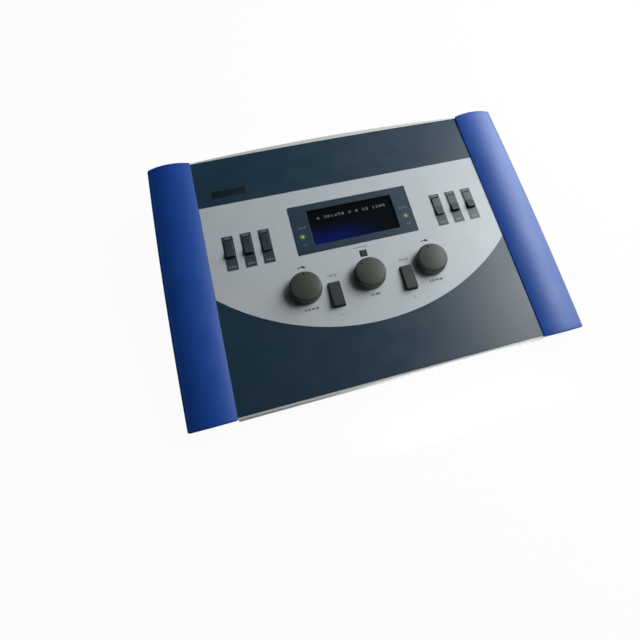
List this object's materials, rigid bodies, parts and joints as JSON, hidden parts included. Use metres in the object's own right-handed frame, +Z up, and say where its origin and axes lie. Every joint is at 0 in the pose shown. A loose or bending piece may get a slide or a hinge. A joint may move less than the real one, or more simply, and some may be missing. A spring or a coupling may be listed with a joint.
{
  "type": "desktop audiometer",
  "caption": "Wedge-shaped desktop audiometer: sloping control panel with blue display window, round dials, rocker switches and press paddles between two blue cheeks, sockets at the rear.",
  "frame": {"origin": "on the table plane, under the middle of the console's outline (middle of its width and depth, underside of the feet)", "axes": "+X to the user's right along the console's width, +Y away from the user towards the rear plate, +Z up"},
  "size_m": [0.3684, 0.2636, 0.0619],
  "materials": {
    "light_grey_case": "fine-textured light grey injection moulding",
    "zinc_steel": "zinc-plated steel",
    "encoder_body": "black moulding",
    "knob": "dark olive-grey satin moulding",
    "circuit_board": "green solder resist",
    "dark_panel": "fine-textured dark blue-grey moulding",
    "slate_bezel": "slate satin moulding",
    "display_window": "clear tinted acrylic",
    "lcd_frame": "black steel",
    "lcd_glass": "backlit blue liquid-crystal glass with white characters",
    "blue_cheek": "blue satin-gloss moulding",
    "key": "dark olive-grey satin moulding",
    "switch_housing": "black moulding",
    "legend_print": "dark slate print with small light numerals",
    "light_overlay": "light grey printed foil, satin",
    "name_plate": "blank satin plate, darker than the panel",
    "socket_body": "black moulding",
    "power_rocker": "black moulding",
    "rear_plate": "brushed anodised aluminium",
    "ribbon": "grey ribbon cable",
    "foot_rubber": "black rubber",
    "socket_nut": "nickel-plated brass",
    "status_led": "yellow-green lamp body",
    "usb_shell": "tinned steel shell"
  },
  "bodies": {
    "console": {"base_shell": "light_grey_case", "board_screws": "zinc_steel", "case_screws": "zinc_steel", "centre_encoder": "encoder_body", "cheek_screws": "zinc_steel", "control_board": "circuit_board", "control_panel": "dark_panel", "display_bezel": "slate_bezel", "display_window": "display_window", "encoder_nuts": "zinc_steel", "lcd_board": "circuit_board", "lcd_frame": "lcd_frame", "lcd_glass": "lcd_glass", "left_cheek": "blue_cheek", "left_encoder": "encoder_body", "left_paddle_housing": "switch_housing", "legend_plates": "legend_print", "light_overlay": "light_overlay", "main_board": "circuit_board", "name_plate": "name_plate", "paddle_pins": "zinc_steel", "power_housing": "switch_housing", "power_inlet": "socket_body", "rear_plate": "rear_plate", "ribbon_cable": "ribbon", "right_cheek": "blue_cheek", "right_encoder": "encoder_body", "right_paddle_housing": "switch_housing", "rocker_housing_1": "switch_housing", "rocker_housing_2": "switch_housing", "rocker_housing_3": "switch_housing", "rocker_housing_4": "switch_housing", "rocker_housing_5": "switch_housing", "rocker_housing_6": "switch_housing", "rocker_pins": "zinc_steel", "rubber_feet": "foot_rubber", "socket_1": "socket_body", "socket_2": "socket_body", "socket_3": "socket_body", "socket_4": "socket_body", "socket_5": "socket_body", "socket_nuts": "socket_nut", "status_leds": "status_led", "usb_socket": "usb_shell"},
    "left_knob_body": {"left_knob": "knob", "left_shaft": "zinc_steel"},
    "centre_knob_body": {"centre_knob": "knob", "centre_shaft": "zinc_steel"},
    "right_knob_body": {"right_knob": "knob", "right_shaft": "zinc_steel"},
    "rocker_1_body": {"rocker_1": "key"},
    "rocker_2_body": {"rocker_2": "key"},
    "rocker_3_body": {"rocker_3": "key"},
    "rocker_4_body": {"rocker_4": "key"},
    "rocker_5_body": {"rocker_5": "key"},
    "rocker_6_body": {"rocker_6": "key"},
    "left_paddle_body": {"left_paddle": "key"},
    "right_paddle_body": {"right_paddle": "key"},
    "power_rocker_body": {"power_rocker": "power_rocker"}
  },
  "joints": [
    {"name": "left_knob_turn", "type": "hinge", "parent": "console", "child": "left_knob_body", "pos_m": [-0.0613, -0.03107, 0.03232], "axis": [0, -0.1564, 0.9877], "continuous": true},
    {"name": "centre_knob_turn", "type": "hinge", "parent": "console", "child": "centre_knob_body", "pos_m": [0, -0.03107, 0.03232], "axis": [0, -0.1564, 0.9877], "continuous": true},
    {"name": "right_knob_turn", "type": "hinge", "parent": "console", "child": "right_knob_body", "pos_m": [0.0613, -0.03107, 0.03232], "axis": [0, -0.1564, 0.9877], "continuous": true},
    {"name": "rocker_1_swing", "type": "hinge", "parent": "console", "child": "rocker_1_body", "pos_m": [-0.121, 0.02543, 0.03671], "axis": [1, 0, 0], "range_deg": [0, 7]},
    {"name": "rocker_2_swing", "type": "hinge", "parent": "console", "child": "rocker_2_body", "pos_m": [-0.10396, 0.02543, 0.03671], "axis": [1, 0, 0], "range_deg": [0, 7]},
    {"name": "rocker_3_swing", "type": "hinge", "parent": "console", "child": "rocker_3_body", "pos_m": [-0.08692, 0.02543, 0.03671], "axis": [1, 0, 0], "range_deg": [-7, 0]},
    {"name": "rocker_4_swing", "type": "hinge", "parent": "console", "child": "rocker_4_body", "pos_m": [0.08692, 0.02543, 0.03671], "axis": [1, 0, 0], "range_deg": [-7, 0]},
    {"name": "rocker_5_swing", "type": "hinge", "parent": "console", "child": "rocker_5_body", "pos_m": [0.10396, 0.02543, 0.03671], "axis": [1, 0, 0], "range_deg": [0, 7]},
    {"name": "rocker_6_swing", "type": "hinge", "parent": "console", "child": "rocker_6_body", "pos_m": [0.121, 0.02543, 0.03671], "axis": [1, 0, 0], "range_deg": [0, 7]},
    {"name": "left_paddle_press", "type": "hinge", "parent": "console", "child": "left_paddle_body", "pos_m": [-0.035, -0.03274, 0.02749], "axis": [1, 0, 0], "range_deg": [0, 5], "stiffness_Nm_per_rad": 0.3, "springref_deg": -2.86},
    {"name": "right_paddle_press", "type": "hinge", "parent": "console", "child": "right_paddle_body", "pos_m": [0.035, -0.03274, 0.02749], "axis": [1, 0, 0], "range_deg": [0, 5], "stiffness_Nm_per_rad": 0.3, "springref_deg": -2.86},
    {"name": "power_rocker_swing", "type": "hinge", "parent": "console", "child": "power_rocker_body", "pos_m": [-0.09, 0.12159, 0.02922], "axis": [1, 0, 0], "range_deg": [0, 16]}
  ]
}
